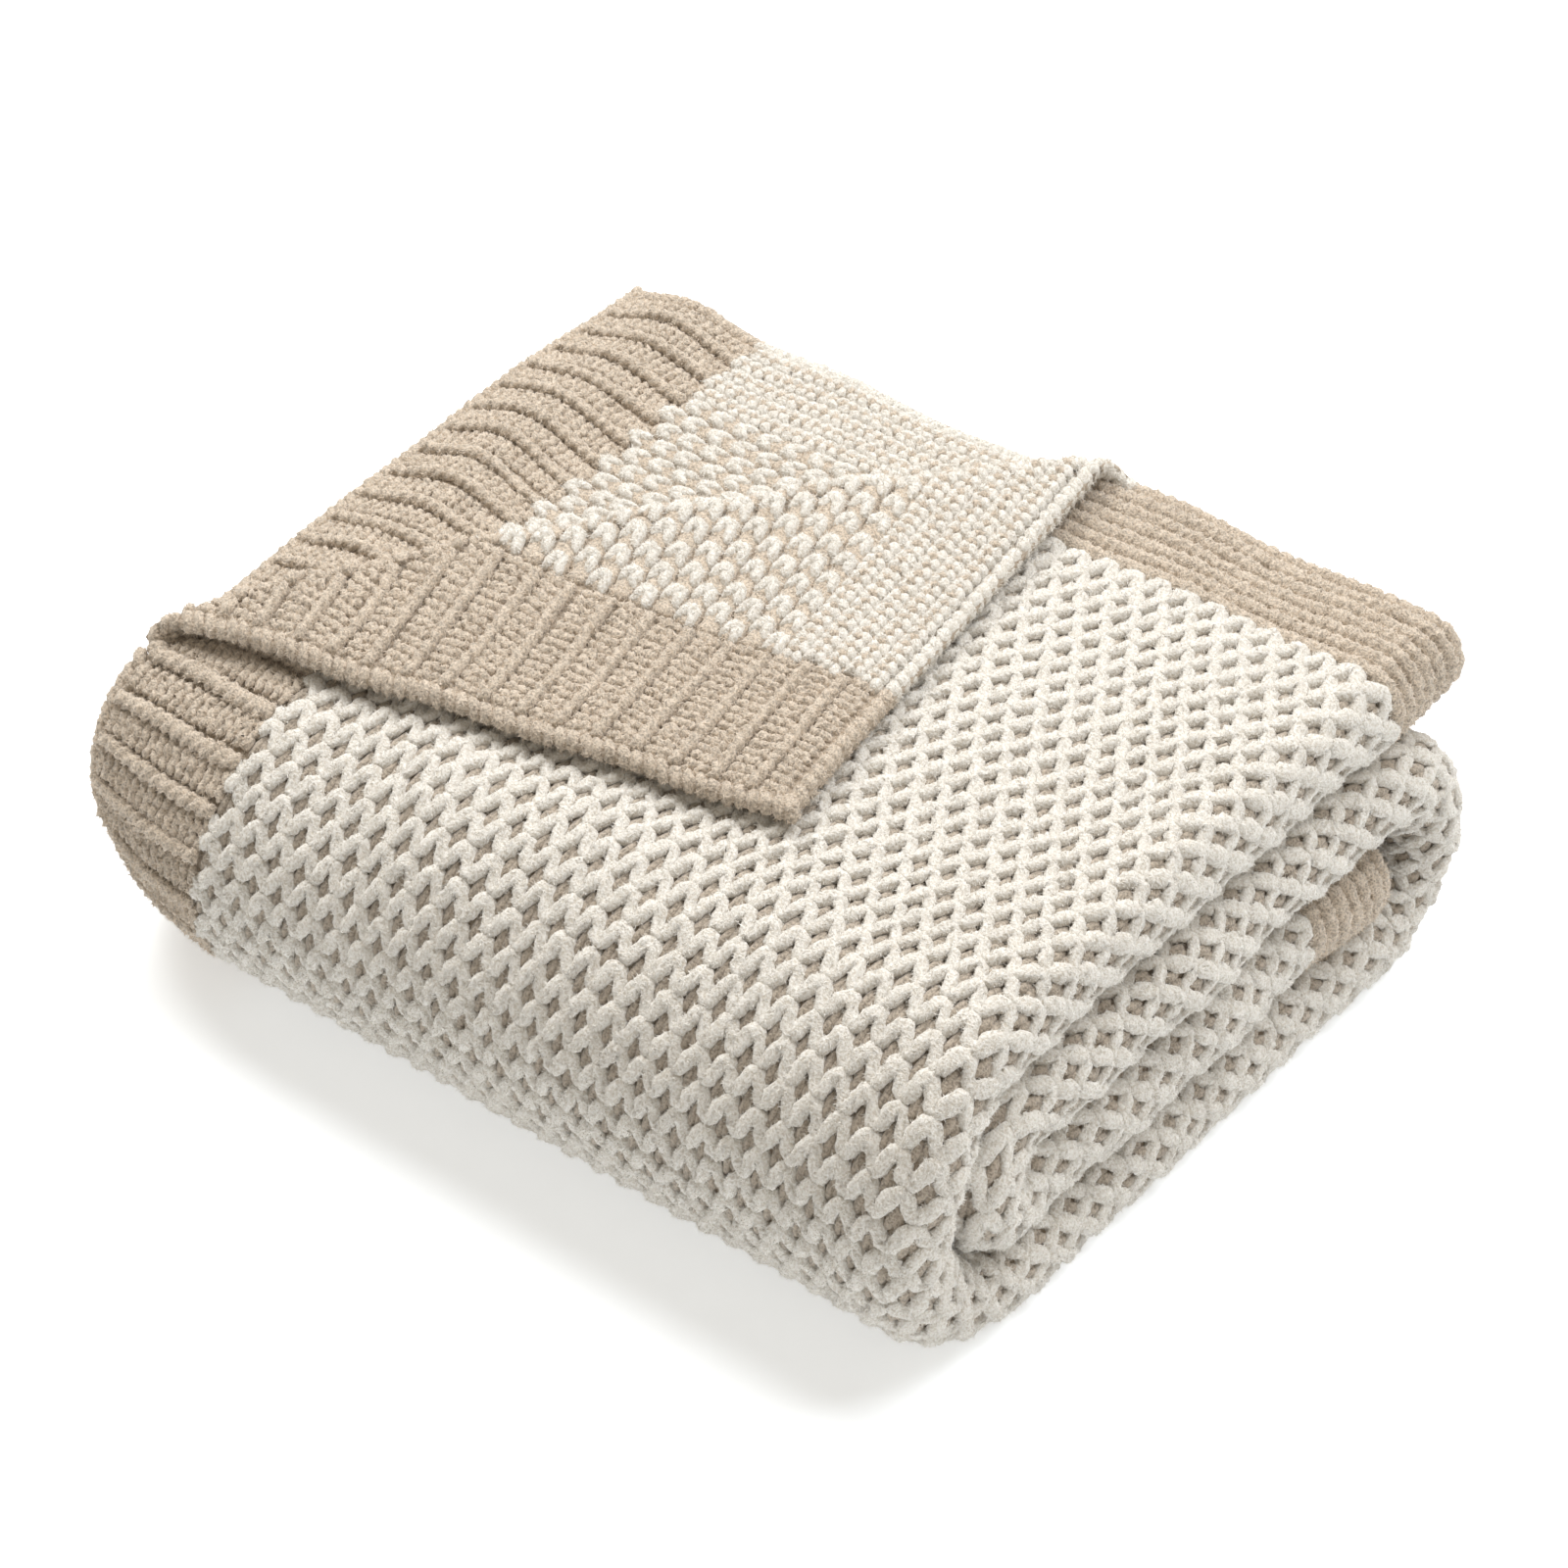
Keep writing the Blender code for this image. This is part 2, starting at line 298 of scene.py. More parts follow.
def rim_radius(t):
    """The radius at which the cloth turns over, at this distance along the crease."""
    tau = np.clip(t / CREASE_LEN, 0, 1)
    ends = RIM_END_RADIUS + (RIM_LOOP_RADIUS - RIM_END_RADIUS) * tau ** 6
    return ends + (RIM_RADIUS - ends) * (4 * tau * (1 - tau)) ** 0.6


def rim_bow(t):
    """How far the crease bows out from its straight line."""
    tau = np.clip(t / CREASE_LEN, 0, 1)
    return RIM_BOW * 4 * tau * (1 - tau)


def beyond_rim(u, v):
    """How far a flat point lies past where the cloth starts to turn over, and the rim's arc length there."""
    t, s = crease_frame(v, TOP_Y - u)
    start = rim_bow(t) - math.pi / 2 * rim_radius(t)
    return s - start, math.pi * rim_radius(t)


def flap(u, v, w):
    """World points of the turned-back corner for flat cloth points of the top ply."""
    t, s = crease_frame(v, TOP_Y - u)
    radius = rim_radius(t)
    start = rim_bow(t) - math.pi / 2 * radius
    s = s - start
    turn = np.clip(s / radius, 0, math.pi)
    past = over(s - math.pi * radius)
    settle = 1 - np.exp(-past / FLAP_SETTLE)
    height = radius * (1 - np.cos(turn)) + (FLAP_GAP - 2 * radius) * settle
    out = start + radius * np.sin(turn) - past - 2 * rim_bow(t) * settle
    out = out + np.minimum(s, 0)
    # the front side faces up before the crease and down past it
    normal_out, normal_up = -np.sin(turn), np.cos(turn)
    out = out + normal_out * w
    height = height + normal_up * w
    x = t * CREASE_RUN[0] + out * CREASE_OUT[0]
    y = CREASE_Y + t * CREASE_RUN[1] + out * CREASE_OUT[1]
    high = top_height(x, y)
    z = high * (1 - 0.5 * PLY_PITCH / PILE_Z) + height
    return np.stack([x, y, z], -1) - CENTRE


# ---------------------------------------------------------------- mesh collection
PIECE_FACES = 88000
# each made object with the body it rides on, "rim" standing for the stretch that bends between the two
pieces = []


class Yarn:
    """Gathers strands of one yarn into objects of a bounded size."""

    def __init__(self, name, material, body):
        self.name, self.material, self.body = name, material, body
        self.verts, self.quads, self.tris = [], [], []
        self.count = self.faces = self.made = 0

    def add(self, verts, quads, tris):
        if self.faces and self.faces + len(quads) > PIECE_FACES:
            self.flush()
        self.verts.append(verts.reshape(-1, 3))
        self.quads.append(quads + self.count)
        self.tris.append(tris + self.count)
        self.count += verts.reshape(-1, 3).shape[0]
        self.faces += len(quads) + len(tris)

    def flush(self):
        if not self.faces:
            return
        self.made += 1
        name = "%s_%02d" % (self.name, self.made)
        verts, quads, tris = (np.concatenate(part) for part in (self.verts, self.quads, self.tris))
        obj = mesh_object(name, verts, quads, tris, self.material)
        pieces.append((obj, self.body))
        self.verts, self.quads, self.tris = [], [], []
        self.count = self.faces = 0


def turn_outward(mesh):
    """Flips the faces of closed shells that were wound inward, judged by the volume they enclose."""
    count = len(mesh.polygons)
    area, middle, normal = np.zeros(count), np.zeros(count * 3), np.zeros(count * 3)
    mesh.polygons.foreach_get("area", area)
    mesh.polygons.foreach_get("center", middle)
    mesh.polygons.foreach_get("normal", normal)
    if (area * (middle * normal).reshape(-1, 3).sum(1)).sum() < 0:
        mesh.flip_normals()


def mesh_object(name, verts, quads, tris, material):
    """A smooth mesh object; nothing of it goes below the floor."""
    mesh = bpy.data.meshes.new(name)
    verts[:, 2] = np.maximum(verts[:, 2], 0.0)
    mesh.vertices.add(len(verts))
    mesh.vertices.foreach_set("co", verts.astype(np.float32).ravel())
    loops = np.concatenate([quads.ravel(), tris.ravel()]).astype(np.int32)
    totals = np.concatenate([np.full(len(quads), 4), np.full(len(tris), 3)]).astype(np.int32)
    mesh.loops.add(len(loops))
    mesh.loops.foreach_set("vertex_index", loops)
    mesh.polygons.add(len(totals))
    starts = np.concatenate([[0], np.cumsum(totals)[:-1]]).astype(np.int32)
    mesh.polygons.foreach_set("loop_start", starts)
    mesh.polygons.foreach_set("loop_total", totals)
    mesh.update(calc_edges=True)
    turn_outward(mesh)
    mesh.polygons.foreach_set("use_smooth", np.ones(len(totals), bool))
    mesh.materials.append(material)
    obj = bpy.data.objects.new(name, mesh)
    bpy.context.scene.collection.objects.link(obj)
    return obj


def ring_quads(steps, ring):
    """Quads of a tube with this many rings, and triangles for its two ends."""
    i = np.arange(steps - 1)[:, None] * ring
    j = np.arange(ring)[None, :]
    k = (j + 1) % ring
    quads = np.stack([i + j, i + k, i + ring + k, i + ring + j], -1).reshape(-1, 4)
    fan = np.arange(1, ring - 1)
    first = np.stack([np.zeros_like(fan), fan + 1, fan], -1)
    last = np.stack([np.zeros_like(fan), fan, fan + 1], -1) + (steps - 1) * ring
    return quads, np.concatenate([first, last])


def fuzz(world, centre, amount, size, seed):
    """Pushes points in and out from their strand's centre, as tufts of pile do."""
    d = world - centre
    n = noise(world, size, seed) * 0.55 + noise(world, size * 0.3, seed + 9) * 0.45
    r = np.linalg.norm(d, axis=-1, keepdims=True)
    return world + d / np.maximum(r, 1e-6) * (n[..., None] * amount)


def tube(yarn, place, u, v, w, side, rise, ring, twist=0.0, lobes=0.0, amount=0.0003, size=0.0011, seed=3):
    """A strand along flat centre points, side and rise its half widths in the cloth and out of it."""
    steps = len(u)
    if steps < 3:
        return
    w = np.broadcast_to(w, (steps,))
    du, dv = np.gradient(u), np.gradient(v)
    length = np.maximum(np.hypot(du, dv), 1e-9)
    nu, nv = dv / length, -du / length
    phi = np.linspace(0, 2 * math.pi, ring, endpoint=False)[None, :]
    r = 1 + lobes * np.cos(2 * (phi - np.reshape(twist, (-1, 1))))
    swell = 1 + 0.14 * noise(np.stack([u, v, w], -1), 0.004, seed + 50)
    side = np.broadcast_to(side, (steps,)) * swell
    rise = np.broadcast_to(rise, (steps,)) * swell
    taper = np.ones(steps)
    taper[0] = taper[-1] = 0.45
    taper[1] = taper[-2] = 0.85
    a = (side * taper)[:, None] * r * np.cos(phi)
    b = (rise * taper)[:, None] * r * np.sin(phi)
    pu, pv, pw = u[:, None] + nu[:, None] * a, v[:, None] + nv[:, None] * a, w[:, None] + b
    world = place(pu, pv, pw)
    centre = place(u, v, w)[:, None, :]
    world = fuzz(world, centre, amount, size, seed)
    quads, tris = ring_quads(steps, ring)
    yarn.add(world, quads, tris)


def ball_template(around, stacks):
    """Points, quads and end triangles of a unit ball, its poles along its length."""
    a = np.linspace(0, 2 * math.pi, around, endpoint=False)
    b = np.linspace(-math.pi / 2, math.pi / 2, stacks + 2)[1:-1]
    x = np.cos(b)[:, None] * np.cos(a)
    y = np.cos(b)[:, None] * np.sin(a)
    z = np.sin(b)[:, None] * np.ones_like(a)
    pts = np.stack([z, x, y], -1).reshape(-1, 3)
    pts = np.concatenate([pts, [[-1, 0, 0], [1, 0, 0]]])
    i = np.arange(stacks - 1)[:, None] * around
    j = np.arange(around)[None, :]
    k = (j + 1) % around
    quads = np.stack([i + j, i + k, i + around + k, i + around + j], -1).reshape(-1, 4)
    low, high = stacks * around, stacks * around + 1
    jj = np.arange(around)
    kk = (jj + 1) % around
    first = np.stack([np.full(around, low), kk, jj], -1)
    base = (stacks - 1) * around
    last = np.stack([np.full(around, high), base + jj, base + kk], -1)
    return pts, quads, np.concatenate([first, last])


def blobs(yarn, place, u, v, w, long, side, rise, angle=0.0, around=10, stacks=7,
          amount=0.0003, size=0.0011, seed=5, bend=0.0):
    """Plump stitches: long, side and rise are half sizes, and angle turns long from +v towards +u."""
    if len(u) == 0:
        return
    pts, quads, tris = ball_template(around, stacks)
    n = len(u)
    w = np.broadcast_to(w, (n,))
    long, side, rise, angle = (np.broadcast_to(q, (n,))[:, None] for q in (long, side, rise, angle))
    lx = pts[:, 0]
    a, b = lx[None] * long, pts[None, :, 1] * side
    b = b + bend * (lx[None] ** 2 - 0.4) * long
    pv = v[:, None] + a * np.cos(angle) - b * np.sin(angle)
    pu = u[:, None] + a * np.sin(angle) + b * np.cos(angle)
    pw = w[:, None] + pts[None, :, 2] * rise
    world = place(pu, pv, pw)
    centre = place(u, v, w)[:, None, :]
    world = fuzz(world, centre, amount, size, seed)
    per = len(pts)
    chunk = max(1, PIECE_FACES // (len(quads) + len(tris)) // 2)
    for first in range(0, n, chunk):
        last = min(n, first + chunk)
        shift = (np.arange(last - first) * per)[:, None, None]
        yarn.add(world[first:last], (quads[None] + shift).reshape(-1, 4),
                 (tris[None] + shift).reshape(-1, 3))


def runs_of(mask):
    """(first, last) of each stretch where the mask holds."""
    m = np.concatenate([[False], mask, [False]])
    edge = np.flatnonzero(m[1:] != m[:-1])
    return list(zip(edge[::2], edge[1::2]))


# ---------------------------------------------------------------- materials
def node(tree, kind, **values):
    """A new shader node with these settings."""
    made = tree.nodes.new(kind)
    for key, value in values.items():
        setattr(made, key, value)
    return made


def chenille(name, colour, deep, sheen=0.35):
    """Fuzzy chenille: fine speckle of lit tips and shaded gaps, with relief of the tufts' size."""
    mat = bpy.data.materials.new(name)
    mat.use_nodes = True
    tree = mat.node_tree
    shader = tree.nodes["Principled BSDF"]
    shader.inputs["Roughness"].default_value = 0.95
    shader.inputs["Specular IOR Level"].default_value = 0.12
    shader.inputs["Sheen Weight"].default_value = sheen
    shader.inputs["Sheen Roughness"].default_value = 0.6
    shader.inputs["Sheen Tint"].default_value = (1.0, 0.98, 0.95, 1.0)
    place = node(tree, "ShaderNodeTexCoord")
    fine = node(tree, "ShaderNodeTexNoise")
    fine.inputs["Scale"].default_value = 1.0 / TUFT
    fine.inputs["Detail"].default_value = 3.0
    fine.inputs["Roughness"].default_value = 0.62
    tree.links.new(place.outputs["Object"], fine.inputs["Vector"])
    broad = node(tree, "ShaderNodeTexNoise")
    broad.inputs["Scale"].default_value = 60.0
    broad.inputs["Detail"].default_value = 2.0
    tree.links.new(place.outputs["Object"], broad.inputs["Vector"])
    ramp = node(tree, "ShaderNodeValToRGB")
    ramp.color_ramp.elements[0].position = 0.36
    ramp.color_ramp.elements[0].color = (*deep, 1.0)
    ramp.color_ramp.elements[1].position = 0.58
    ramp.color_ramp.elements[1].color = (*colour, 1.0)
    tree.links.new(fine.outputs["Fac"], ramp.inputs["Fac"])
    tone = node(tree, "ShaderNodeMapRange")
    tone.inputs["To Min"].default_value = 0.93
    tone.inputs["To Max"].default_value = 1.05
    tree.links.new(broad.outputs["Fac"], tone.inputs["Value"])
    mix = node(tree, "ShaderNodeVectorMath", operation="SCALE")
    tree.links.new(ramp.outputs["Color"], mix.inputs[0])
    tree.links.new(tone.outputs["Result"], mix.inputs["Scale"])
    tree.links.new(mix.outputs["Vector"], shader.inputs["Base Color"])
    bump = node(tree, "ShaderNodeBump")
    bump.inputs["Strength"].default_value = 0.9
    bump.inputs["Distance"].default_value = TUFT * 0.9
    tree.links.new(fine.outputs["Fac"], bump.inputs["Height"])
    tree.links.new(bump.outputs["Normal"], shader.inputs["Normal"])
    return mat


def toned(colour, share):
    """The colour at this share of its strength."""
    return tuple(share * c for c in colour)


white_mat = chenille("cream_chenille", WHITE, WHITE_DEEP)
tan_mat = chenille("tan_chenille", TAN, toned(TAN, 0.46))
# the ground yarn in the lattice's pockets is a darker tan, painted shade for the shade that falls in the
# pockets
shaded_recess_mat = chenille("tan_recess_painted_shade", toned(TAN, 0.76), toned(TAN, 0.38))
# the ground sheet beneath every stitch is a darker tan, painted shade for the gaps where it shows
ground_shade_mat = chenille("tan_ground_painted_shade", toned(TAN, 0.72), TAN_GROUND_SHADE, sheen=0.15)


def plain_fibre(name, colour):
    """The material of loose fibres, too small to need relief."""
    mat = bpy.data.materials.new(name)
    mat.use_nodes = True
    shader = mat.node_tree.nodes["Principled BSDF"]
    shader.inputs["Base Color"].default_value = (*colour, 1.0)
    shader.inputs["Roughness"].default_value = 0.95
    shader.inputs["Specular IOR Level"].default_value = 0.1
    shader.inputs["Sheen Weight"].default_value = 0.3
    return mat


# both fibre colours are lighter than their yarn, painted highlight for the lit tips
white_pile = plain_fibre("cream_pile", toned(WHITE, 1.06))
tan_pile = plain_fibre("tan_pile", TAN_FIBRE_HIGHLIGHT)

# Loose fibres: half their width, how many to a square metre, how far they lean, and their lengths.
PILE_HALF = 0.00013
PILE_DENSITY = 1.0e6
PILE_SPREAD = 0.8
LATTICE_PILE = 0.0013
OTHER_PILE = 0.0016


def pile_on(obj, material, length):
    """Short loose fibres standing on the surface of a piece."""
    mesh = obj.data
    count = len(mesh.polygons)
    area, start = np.zeros(count), np.zeros(count, int)
    middle, normal = np.zeros(count * 3), np.zeros(count * 3)
    mesh.polygons.foreach_get("area", area)
    mesh.polygons.foreach_get("loop_start", start)
    mesh.polygons.foreach_get("center", middle)
    mesh.polygons.foreach_get("normal", normal)
    corners = np.zeros(len(mesh.loops), int)
    mesh.loops.foreach_get("vertex_index", corners)
    co = np.zeros(len(mesh.vertices) * 3)
    mesh.vertices.foreach_get("co", co)
    co, middle, normal = co.reshape(-1, 3), middle.reshape(-1, 3), normal.reshape(-1, 3)
    chosen = rng.choice(count, int(area.sum() * PILE_DENSITY), p=area / area.sum())
    a = co[corners[start[chosen]]]
    c = co[corners[start[chosen] + 2]]
    share = rng.random((len(chosen), 1))
    root = middle[chosen] * 0.4 + 0.6 * (a * share + c * (1 - share))
    up = normal[chosen]
    lean = rng.normal(0, PILE_SPREAD, (len(chosen), 3))
    way = up + lean
    way /= np.linalg.norm(way, axis=1, keepdims=True)
    across = np.cross(way, rng.normal(0, 1, (len(chosen), 3)))
    across /= np.maximum(np.linalg.norm(across, axis=1, keepdims=True), 1e-9)
    reach = length * (0.6 + 0.8 * rng.random((len(chosen), 1)))
    half = PILE_HALF * (0.7 + 0.6 * rng.random((len(chosen), 1)))
    verts = np.stack([root - across * half, root + across * half, root + way * reach], 1).reshape(-1, 3)
    tris = np.arange(len(verts)).reshape(-1, 3)
    return mesh_object(obj.name + "_pile", verts, np.zeros((0, 4), int), tris, material)


# ---------------------------------------------------------------- where stitches show
LIP_SHOWS = 0.036
PAST_CREASE = 0.02


def on_flap_side(u, v):
    """True for the part of the top ply's corner that is turned over, rim included."""
    past, _ = beyond_rim(u, v)
    return (past > 0) & (u < CREASE_REACH + PAST_CREASE) & (v < CREASE_X + PAST_CREASE)


def front_shows(u, v):
    """True where the cloth's front side can be seen: the outer ply, the lips and the first fold."""
    outer = (u < U_LOOP + 0.004) & (v < V_LIP)
    lips = (v > V_LIP - LIP_SHOWS) & (v < V_LIP_END + 0.014)
    first_fold = (v > V_FOLD - 0.012) & (v < V_FOLD_END + 0.010)
    return (outer | lips | first_fold) & ~on_flap_side(u, v)


def under_side(u, v):
    """True for the bottom layer's outer ply, which lies on the floor."""
    return (u > U_WRAP + 0.012) & (u < U_BOTTOM - 0.012) & (v < V_LIP - LIP_SHOWS)


ROWS = int(round((WIDE - 2 * SIDE_BORDER) / ROW_U))
PITCH = (WIDE - 2 * SIDE_BORDER) / ROWS
APEX = 0.56


def arch(p):
    """The lattice strand's way across its row at phase p: -1 at its crest and 1 at its feet."""
    q = p - np.floor(p)
    s = np.where(q < APEX, q / APEX, (1 - q) / (1 - APEX))
    return np.tanh(1.1 * np.cos(math.pi * s)) / math.tanh(1.1)


def row_place(j):
    """A lattice row's place across the cloth, and its phase: every other row is half a cell on."""
    return SIDE_BORDER + (j + 0.5) * PITCH, 0.5 * (j % 2)


def meander(j, v):
    """How far a hand-knit row strays across and along the cloth."""
    a = noise(np.stack([v, np.full_like(v, j * 0.013), np.zeros_like(v)], -1), 0.03, 11)
    b = noise(np.stack([v, np.full_like(v, j * 0.5), np.ones_like(v)], -1), 0.012, 12)
    return 0.0008 * a, 0.0009 * b


def lattice_row(j, v):
    """Flat centre points of a lattice row, with its strand's twist and width."""
    base, phase = row_place(j)
    du, dp = meander(j, v)
    p = v / CELL_V + phase + dp / CELL_V
    t = arch(p)
    reach = 0.0027 + 0.0004 * noise(np.stack([v, np.full_like(v, j * 0.7), v * 0], -1), 0.006, 14)
    u = base + reach * t + du
    q = p - np.floor(p)
    over_leg = np.cos(2 * math.pi * (q - APEX / 2))
    w = 0.0024 - 0.0003 * t + 0.0005 * over_leg
    twist = 0.2 - 0.2 * over_leg
    # the strands are fuller towards the back of the top layer and slimmer on the front face
    denser = 0.17 * np.clip((U_TOP - u) / 0.22, 0, 1) - 0.05 * np.clip((u - U_TOP + 0.03) / 0.05, 0, 1)
    return u, w, twist, 1 + 0.06 * over_leg + denser


def lattice(yarn, place, allowed, rows, v_low, v_high, coarse):
    """The cream strands, one to a row, which touch their neighbours at crests and feet."""
    step, ring = (0.0016, 8) if coarse else (0.0007, 13)
    grid = np.arange(v_low, v_high, step)
    for j in rows:
        u, w, twist, wide = lattice_row(j, grid)
        for a, b in runs_of(allowed(u, grid)):
            if b - a < 4:
                continue
            s = slice(a, b)
            tube(yarn, place, u[s], grid[s], w[s], side=0.0021 * wide[s], rise=0.0026 * wide[s], ring=ring,
                 twist=twist[s], lobes=0.28, amount=0.0013, size=0.0011)


def beans(yarn, place, allowed, rows, v_low, v_high):
    """The tan ground yarn that shows in each gap of the lattice."""
    us, vs = [], []
    for j in rows:
        base, phase = row_place(j)
        n = np.arange(math.floor(v_low / CELL_V), math.ceil(v_high / CELL_V) + 1)
        v = (n + APEX - phase) * CELL_V
        v = v[(v > v_low) & (v < v_high)]
        u = np.full_like(v, base + PITCH / 2)
        ok = allowed(u, v)
        us.append(u[ok])
        vs.append(v[ok])
    u, v = np.concatenate(us), np.concatenate(vs)
    if not len(u):
        return
    wob = rng.normal(0, 0.0003, len(u))
    blobs(yarn, place, u, v - 0.0013 + wob, 0.0009, long=0.0042, side=0.0020, rise=0.0020,
          angle=math.pi / 2 + 0.20, around=9, amount=0.0006, bend=0.14)
    blobs(yarn, place, u + wob, v + 0.0016, 0.0007, long=0.0040, side=0.0020, rise=0.0019,
          angle=math.pi / 2 - 0.14, around=9, amount=0.0006, bend=-0.14)


def honeycomb(white, tan, place, allowed, coarse=False, rows=None):
    """The middle of the cloth. The coarse one is for where it is hardly seen."""
    low, high = END_BORDER + 0.001, LONG - END_BORDER - 0.001
    rows = range(ROWS) if rows is None else rows
    lattice(white, place, allowed, rows, low, high, coarse)
    if not coarse:
        beans(tan, place, allowed, rows, low, high)


SIDE_RIBS = 6


def side_ribs(yarn, place, allowed, far=False, sign=1.0):
    """Plump ribs along the side border, inside its edge cord."""
    pitch = (SIDE_BORDER - SIDE_CORD) / SIDE_RIBS
    grid = np.arange(END_BORDER + 0.002, LONG - END_BORDER - 0.002, 0.0007)
    for k in range(SIDE_RIBS):
        across = SIDE_CORD + (k + 0.5) * pitch
        middle = WIDE - across if far else across
        du = 0.0007 * noise(np.stack([grid, np.full_like(grid, k * 0.1 + far), grid * 0], -1), 0.03, 21)
        u = middle + du
        rise = 0.0031 * (1 + 0.12 * np.cos(2 * math.pi * grid / 0.0044 + k))
        for a, b in runs_of(allowed(u, grid)):
            s = slice(a, b)
            tube(yarn, place, u[s], grid[s], sign * 0.0010, side=0.0034, rise=rise[s], ring=16,
                 amount=0.0012, size=0.0013, seed=8)


SIDE_MARGIN = 0.006


def bowed(at):
    """How bowed an end border's ribs are at this distance from its edge: 0 at both ends and 1 halfway."""
    return np.sin(math.pi * np.clip((at - EDGE_ROLL) / (END_BORDER - EDGE_ROLL), 0, 1))


def end_ribs(yarn, place, allowed, at_far_end=False, sign=1.0, u_high=WIDE - SIDE_MARGIN, bow=0.0):
    """Raised ridges along v with panels of short strokes between them; bow is how far the ribs curve."""
    first = SIDE_BORDER + PITCH * 0.5
    along = np.arange(EDGE_ROLL - 0.0045, END_BORDER + 0.0015, 0.0009)
    v = LONG - along if at_far_end else along
    low, high = math.floor((SIDE_MARGIN - first) / END_RIB) - 1, math.ceil((u_high - first) / END_RIB) + 1
    for k in np.arange(low, high):
        ridge = first + k * END_RIB
        du = 0.0015 * noise(np.stack([along, np.full_like(along, k * 0.37), along * 0], -1), 0.028, 31)
        u = ridge + du - bow * bowed(along)
        for a, b in runs_of(allowed(u, v) & (u > SIDE_MARGIN) & (u < u_high)):
            s = slice(a, b)
            tube(yarn, place, u[s], v[s], sign * 0.0028, side=0.0025, rise=0.0025, ring=13,
                 twist=along[s] * 620, lobes=0.18, amount=0.0011, size=0.0012, seed=13)
        inner = np.arange(ridge + 0.0024, ridge + END_RIB - 0.0022, 0.0009)
        tilt = 0.14 if k % 2 else -0.14
        for n, at in enumerate(np.arange(EDGE_ROLL - 0.0010, END_BORDER, 0.0041)):
            stroke_v = np.full_like(inner, LONG - at if at_far_end else at)
            stroke_v = stroke_v + 0.0005 * np.sin(inner * 1900 + n + k) + tilt * (inner - ridge - END_RIB / 2)
            ripple = 0.0005 * np.abs(np.sin(inner * math.pi / 0.0040 + n))
            w = sign * (ripple + 0.0008 + 0.0015 * (inner - ridge) / END_RIB)
            stroke_u = inner - bow * bowed(at)
            ok = allowed(stroke_u, stroke_v) & (stroke_u > SIDE_MARGIN) & (stroke_u < u_high)
            for a, b in runs_of(ok):
                s = slice(a, b)
                tube(yarn, place, stroke_u[s], stroke_v[s], w[s], side=0.0020, rise=0.0020, ring=10,
                     twist=inner[s] * 700, lobes=0.16, amount=0.0010, seed=15)


def edge_roll(yarn, place, allowed, at_far_end=False):
    """The chunky slanted chain along an end edge: a plump stitch and a slimmer one that crosses it."""
    u = np.arange(0.002, WIDE - 0.002, 0.0050)
    u = u + rng.normal(0, 0.0003, len(u))
    v = np.full_like(u, 0.0029)
    v = LONG - v if at_far_end else v
    ok = allowed(u, v)
    u, v = u[ok], v[ok]
    slant, inward = (-0.8, -0.0036) if at_far_end else (0.8, 0.0036)
    blobs(yarn, place, u, v, 0.0, long=0.0048, side=0.0027, rise=0.0035, angle=slant, around=14, stacks=12,
          amount=0.0012, size=0.0013, seed=17)
    blobs(yarn, place, u + 0.0029, v + inward, 0.0, long=0.0038, side=0.0024, rise=0.0029, angle=-slant,
          around=12, stacks=9, amount=0.0008, size=0.0013, seed=19)


def side_cord(yarn, place, allowed, far=False):
    """The slim chain along a side edge."""
    v = np.arange(0.004, LONG - 0.004, 0.0056)
    v = v + rng.normal(0, 0.0003, len(v))
    u = np.full_like(v, WIDE - 0.0030 if far else 0.0030)
    ok = allowed(u, v)
    u, v = u[ok], v[ok]
    blobs(yarn, place, u, v, 0.0, long=0.0046, side=0.0032, rise=0.0036, angle=0.4, around=12, stacks=9,
          amount=0.0009, size=0.0013, seed=23)


CAP_PHASE = 0.2  # where in its cell a cream cap lies


def reverse_rows(white, tan, place, allowed, v_low, v_high):
    """Plump rows of the reverse: tan floats, each ending in a cream cap."""
    grid = np.arange(v_low, v_high, 0.0010)
    us, vs = [], []
    for j in range(ROWS):
        base, phase = row_place(j)
        if base > TOP_Y:
            break
        u = base + 0.0003 * np.sin(grid * 210 + j)
        for a, b in runs_of(allowed(u, grid)):
            s = slice(a, b)
            q = grid[s] / CELL_V + phase
            swell = 1 + 0.10 * np.cos(2 * math.pi * (q - CAP_PHASE))
            tube(tan, place, u[s], grid[s], -0.0016, side=0.0034 * swell, rise=0.0027 * swell, ring=14,
                 lobes=0.26, amount=0.0008, size=0.0012, seed=27)
        n = np.arange(math.floor(v_low / CELL_V), math.ceil(v_high / CELL_V) + 1)
        v = (n + CAP_PHASE - phase) * CELL_V
        v = v[(v > v_low) & (v < v_high)]
        u = np.full_like(v, base)
        ok = allowed(u, v)
        us.append(u[ok])
        vs.append(v[ok])
    u, v = np.concatenate(us), np.concatenate(vs)
    v = v + rng.normal(0, 0.0004, len(v))
    long = 0.0047 * (1 + rng.normal(0, 0.06, len(u)))
    # a cap is two strokes side by side and a crown over their joined end
    blobs(white, place, u - 0.0020, v, -0.0026, long=long, side=0.0022, rise=0.0027, angle=0.10,
          around=12, stacks=12, amount=0.0009, size=0.0013, seed=29, bend=-0.10)
    blobs(white, place, u + 0.0021, v + 0.0008, -0.0026, long=0.9 * long, side=0.0021, rise=0.0027,
          angle=-0.16, around=12, stacks=11, amount=0.0009, size=0.0013, seed=30, bend=0.12)
    blobs(white, place, u, v + 0.0022, -0.0032, long=0.0028, side=0.0030, rise=0.0026,
          around=11, stacks=9, amount=0.0009, size=0.0013, seed=35)


BIRDSEYE_ROWS = 5
BIRDSEYE_STEP = 0.0052


